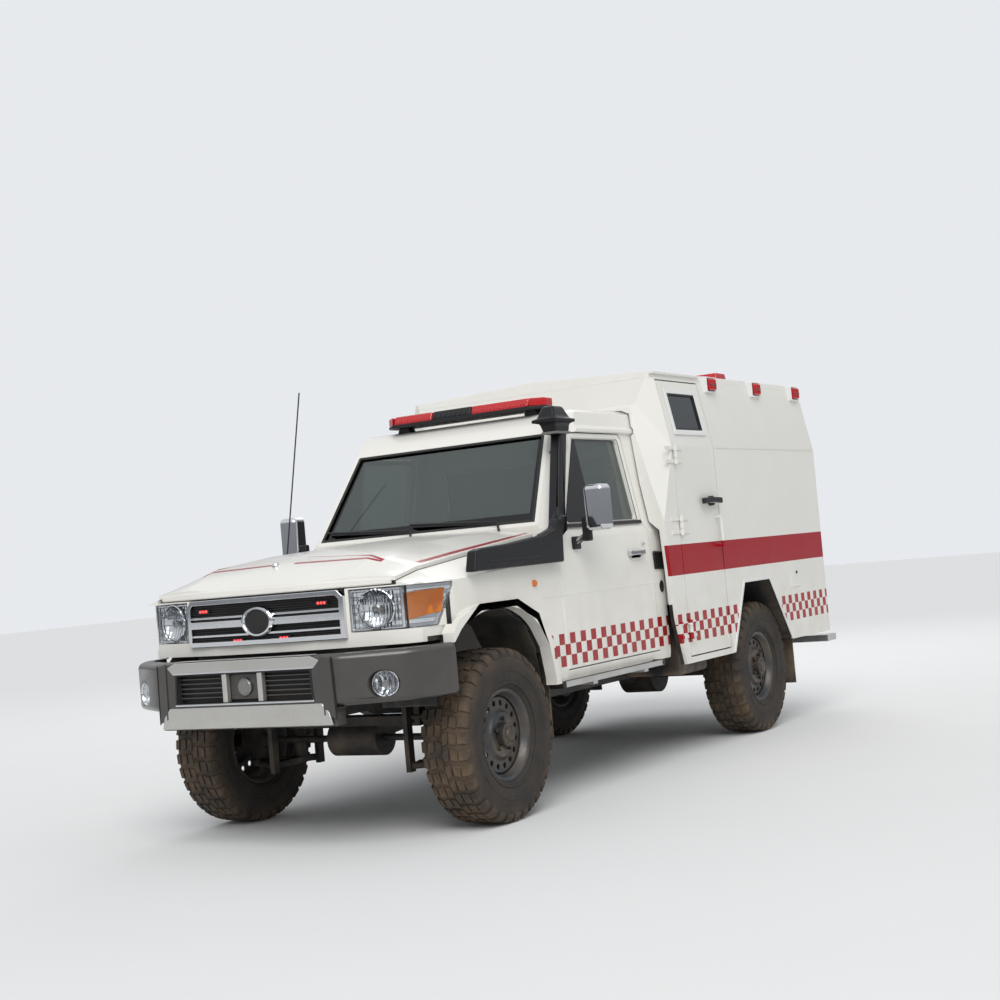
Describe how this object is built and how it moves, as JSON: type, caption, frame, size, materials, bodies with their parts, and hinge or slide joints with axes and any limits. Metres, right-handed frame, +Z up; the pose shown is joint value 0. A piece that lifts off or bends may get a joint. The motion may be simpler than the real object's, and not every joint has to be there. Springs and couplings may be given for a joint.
{
  "type": "four-wheel-drive ambulance truck",
  "caption": "Single-cab four-wheel-drive ambulance truck with a tall box module, opening hood and doors, steered front wheels and free-turning wheels.",
  "frame": {"origin": "on the ground, under the middle of the whole vehicle's bounding box", "axes": "+X to the vehicle's left side, +Y to its rear, +Z up"},
  "size_m": [2.13, 5.336, 2.372],
  "materials": {
    "chassis_black": "satin",
    "cab_paint": "gloss",
    "body_paint": "gloss",
    "floor_covering": "sealed",
    "bright_trim": "polished",
    "lamp_lens": "clear",
    "bumper_grey": "metallic",
    "window_glass": "tinted",
    "black_plastic": "matte",
    "red_lens": "gloss",
    "step_aluminium": "ribbed",
    "flap_rubber": "matte",
    "axle_steel": "painted",
    "engine_iron": "cast",
    "tank_plastic": "matte",
    "exhaust_steel": "heat-stained",
    "seat_fabric": "woven",
    "interior_plastic": "grained",
    "furniture_plastic": "smooth",
    "tyre_rubber": "dusty",
    "wheel_steel": "satin"
  },
  "bodies": {
    "vehicle": {"antenna": "black_plastic", "box_floor": "floor_covering", "box_furniture": "furniture_plastic", "box_roof": "body_paint", "box_shell": "body_paint", "cab_shell": "cab_paint", "chassis_frame": "chassis_black", "dashboard": "interior_plastic", "engine_and_gearbox": "engine_iron", "exhaust": "exhaust_steel", "fixed_glass": "window_glass", "front_axle": "axle_steel", "front_bumper": "bumper_grey", "front_fenders": "cab_paint", "front_lamps": "lamp_lens", "fuel_tank": "tank_plastic", "grille": "bright_trim", "light_bars": "red_lens", "mud_flaps": "flap_rubber", "rear_axle": "axle_steel", "red_lamps": "red_lens", "seats": "seat_fabric", "snorkel": "black_plastic", "springs": "axle_steel", "steps": "step_aluminium", "wipers": "black_plastic"},
    "hood": {"hood": "cab_paint"},
    "cab_door_left": {"cab_door_left": "cab_paint", "cab_door_glass_left": "window_glass"},
    "cab_door_right": {"cab_door_right": "cab_paint", "cab_door_glass_right": "window_glass"},
    "box_side_door": {"box_side_door": "body_paint", "box_side_glass": "window_glass"},
    "rear_door_left": {"rear_door_left": "body_paint", "rear_door_glass_left": "window_glass"},
    "rear_door_right": {"rear_door_right": "body_paint", "rear_door_glass_right": "window_glass"},
    "knuckle_left": {"knuckle_left": "axle_steel"},
    "knuckle_right": {"knuckle_right": "axle_steel"},
    "wheel_front_left": {"tyre_front_left": "tyre_rubber", "rim_front_left": "wheel_steel"},
    "wheel_front_right": {"tyre_front_right": "tyre_rubber", "rim_front_right": "wheel_steel"},
    "wheel_rear_left": {"tyre_rear_left": "tyre_rubber", "rim_rear_left": "wheel_steel"},
    "wheel_rear_right": {"tyre_rear_right": "tyre_rubber", "rim_rear_right": "wheel_steel"}
  },
  "joints": [
    {"name": "hood_hinge", "type": "hinge", "parent": "vehicle", "child": "hood", "pos_m": [0, -1.127, 1.385], "axis": [-1, 0, 0], "range_deg": [0, 50]},
    {"name": "cab_door_left_hinge", "type": "hinge", "parent": "vehicle", "child": "cab_door_left", "pos_m": [0.838, -1.117, 0.64], "axis": [0, 0, -1], "range_deg": [0, 65]},
    {"name": "cab_door_right_hinge", "type": "hinge", "parent": "vehicle", "child": "cab_door_right", "pos_m": [-0.838, -1.117, 0.64], "axis": [0, 0, 1], "range_deg": [0, 65]},
    {"name": "box_side_door_hinge", "type": "hinge", "parent": "vehicle", "child": "box_side_door", "pos_m": [0.937, 0.195, 1.348], "axis": [0, 0, -1], "range_deg": [0, 100]},
    {"name": "rear_door_left_hinge", "type": "hinge", "parent": "vehicle", "child": "rear_door_left", "pos_m": [0.808, 2.498, 1.42], "axis": [0, 0, -1], "range_deg": [0, 110]},
    {"name": "rear_door_right_hinge", "type": "hinge", "parent": "vehicle", "child": "rear_door_right", "pos_m": [-0.808, 2.498, 1.42], "axis": [0, 0, 1], "range_deg": [0, 110]},
    {"name": "steer_left", "type": "hinge", "parent": "vehicle", "child": "knuckle_left", "pos_m": [0.675, -1.797, 0.415], "axis": [0, 0, 1], "range_deg": [-32, 32]},
    {"name": "steer_right", "type": "hinge", "parent": "vehicle", "child": "knuckle_right", "pos_m": [-0.675, -1.797, 0.415], "axis": [0, 0, 1], "range_deg": [-32, 32]},
    {"name": "wheel_front_left_spin", "type": "hinge", "parent": "knuckle_left", "child": "wheel_front_left", "pos_m": [0.757, -1.797, 0.415], "axis": [1, 0, 0], "continuous": true},
    {"name": "wheel_front_right_spin", "type": "hinge", "parent": "knuckle_right", "child": "wheel_front_right", "pos_m": [-0.757, -1.797, 0.415], "axis": [1, 0, 0], "continuous": true},
    {"name": "wheel_rear_left_spin", "type": "hinge", "parent": "vehicle", "child": "wheel_rear_left", "pos_m": [0.737, 1.383, 0.415], "axis": [1, 0, 0], "continuous": true},
    {"name": "wheel_rear_right_spin", "type": "hinge", "parent": "vehicle", "child": "wheel_rear_right", "pos_m": [-0.737, 1.383, 0.415], "axis": [1, 0, 0], "continuous": true}
  ],
  "couplings": [
    {"joint": "steer_right", "follows": "steer_left", "ratio": 1}
  ]
}
